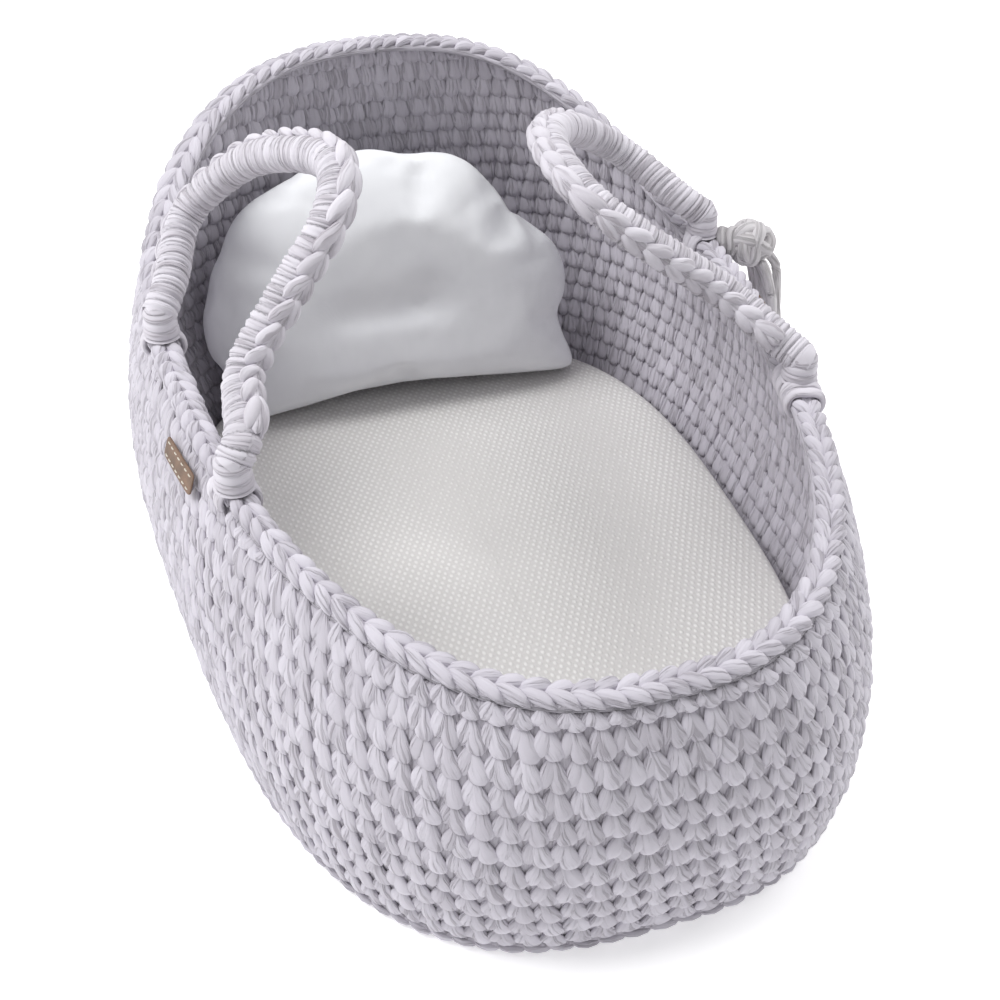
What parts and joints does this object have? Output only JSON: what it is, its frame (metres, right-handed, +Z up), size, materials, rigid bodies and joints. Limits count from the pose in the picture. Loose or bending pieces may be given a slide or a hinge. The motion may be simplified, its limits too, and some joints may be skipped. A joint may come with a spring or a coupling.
{
  "type": "moses basket",
  "caption": "Oval crocheted moses basket with a raised head end, two floppy wrapped rope handles, a fitted mattress and a cloud-shaped pillow.",
  "frame": {"origin": "centre of the underside, on the surface the basket stands on", "axes": "+X to the head end, +Y to the left side seen from the foot end, +Z up"},
  "size_m": [0.8376, 0.6363, 0.4459],
  "materials": {
    "crochet_yarn": "matte cotton jersey yarn, crocheted",
    "braid_yarn": "matte cotton jersey yarn, braided",
    "handle_yarn": "matte cotton jersey yarn, wrapped tightly",
    "strand_yarn": "matte cotton jersey yarn, loose",
    "rope_core": "twisted cotton rope",
    "plywood": "sanded birch plywood",
    "label_leather": "smooth vegetable-tanned leather",
    "label_thread": "waxed thread",
    "foam": "open-cell foam",
    "mattress_cloth": "dotted jacquard knit",
    "pillow_wadding": "polyester wadding",
    "pillow_cloth": "plain-woven cotton"
  },
  "bodies": {
    "root": {"base_mat": "crochet_yarn", "base_board": "plywood", "base_edge": "braid_yarn", "wall": "crochet_yarn", "rim_braid": "braid_yarn", "left_front_band": "handle_yarn", "left_rear_band": "handle_yarn", "right_front_band": "handle_yarn", "right_rear_band": "handle_yarn", "left_label": "label_leather", "left_label_thread": "label_thread", "right_label": "label_leather", "right_label_thread": "label_thread", "knot": "strand_yarn", "strand_1": "strand_yarn", "strand_2": "strand_yarn", "strand_3": "strand_yarn", "strand_4": "strand_yarn", "strand_5": "strand_yarn"},
    "left_handle": {"left_handle_rope": "rope_core", "left_handle_wrap": "handle_yarn", "left_handle_braid": "braid_yarn"},
    "right_handle": {"right_handle_rope": "rope_core", "right_handle_wrap": "handle_yarn", "right_handle_braid": "braid_yarn"},
    "mattress": {"mattress_foam": "foam", "mattress_cover": "mattress_cloth"},
    "pillow": {"pillow_filling": "pillow_wadding", "pillow_cover": "pillow_cloth"}
  },
  "joints": [
    {"name": "left_handle_swing", "type": "hinge", "parent": "root", "child": "left_handle", "pos_m": [-0.015, 0.24215, 0.27765], "axis": [-0.9885, -0.1224, -0.089], "range_deg": [0, 120]},
    {"name": "right_handle_swing", "type": "hinge", "parent": "root", "child": "right_handle", "pos_m": [0.01, -0.24317, 0.27999], "axis": [0.9911, -0.0978, 0.0899], "range_deg": [0, 130]},
    {"name": "mattress_lift", "type": "slide", "parent": "root", "child": "mattress", "axis": [0, 0, 1], "range_m": [0, 0.04]},
    {"name": "pillow_lift", "type": "slide", "parent": "mattress", "child": "pillow", "axis": [0, 0, 1], "range_m": [0, 0.04]}
  ]
}
